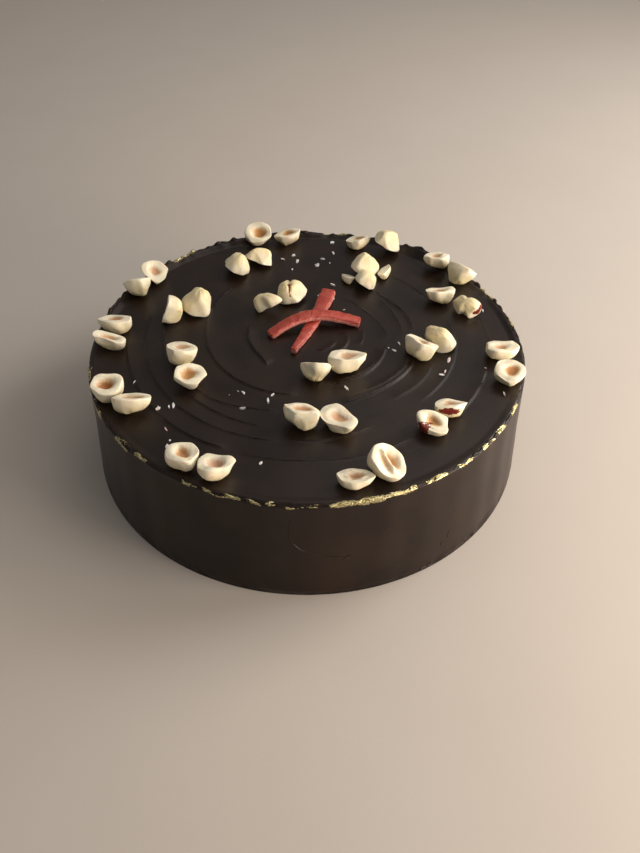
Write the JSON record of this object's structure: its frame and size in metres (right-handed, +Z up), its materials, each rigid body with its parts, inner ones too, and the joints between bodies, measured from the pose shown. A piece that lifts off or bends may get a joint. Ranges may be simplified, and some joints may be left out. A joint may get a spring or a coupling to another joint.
{
  "type": "chocolate torte",
  "caption": "Round, low, dark chocolate-iced torte with a swirled top, a raised uneven rim, scattered hazelnut halves and two crossed strips of candied peel.",
  "frame": {"origin": "centre of the flat base, on the cake's axis", "axes": "+Z up; -Y towards the side that the reference view looks at; +X to that view's right"},
  "size_m": [0.205, 0.205, 0.0671],
  "materials": {
    "icing": "satin dark chocolate icing",
    "hazelnut": "blanched, dry",
    "peel": "moist, candied"
  },
  "bodies": {
    "root": {"cake": "icing", "nut_eye_01": "hazelnut", "nut_eye_02": "hazelnut", "nut_eye_03": "hazelnut", "nut_eye_04": "hazelnut", "nut_mid_01": "hazelnut", "nut_mid_02": "hazelnut", "nut_mid_03": "hazelnut", "nut_mid_04": "hazelnut", "nut_mid_05": "hazelnut", "nut_mid_06": "hazelnut", "nut_mid_07": "hazelnut", "nut_mid_08": "hazelnut", "nut_mid_09": "hazelnut", "nut_mid_10": "hazelnut", "nut_mid_11": "hazelnut", "nut_mid_12": "hazelnut", "nut_mid_13": "hazelnut", "nut_mid_14": "hazelnut", "nut_mid_15": "hazelnut", "nut_mid_16": "hazelnut", "nut_mid_17": "hazelnut", "nut_mid_18": "hazelnut", "nut_rim_01": "hazelnut", "nut_rim_02": "hazelnut", "nut_rim_03": "hazelnut", "nut_rim_04": "hazelnut", "nut_rim_05": "hazelnut", "nut_rim_06": "hazelnut", "nut_rim_07": "hazelnut", "nut_rim_08": "hazelnut", "nut_rim_09": "hazelnut", "nut_rim_10": "hazelnut", "nut_rim_11": "hazelnut", "nut_rim_12": "hazelnut", "nut_rim_13": "hazelnut", "nut_rim_14": "hazelnut", "nut_rim_15": "hazelnut", "nut_rim_16": "hazelnut", "nut_rim_17": "hazelnut", "nut_rim_18": "hazelnut", "peel_over": "peel", "peel_under": "peel"}
  },
  "joints": []
}
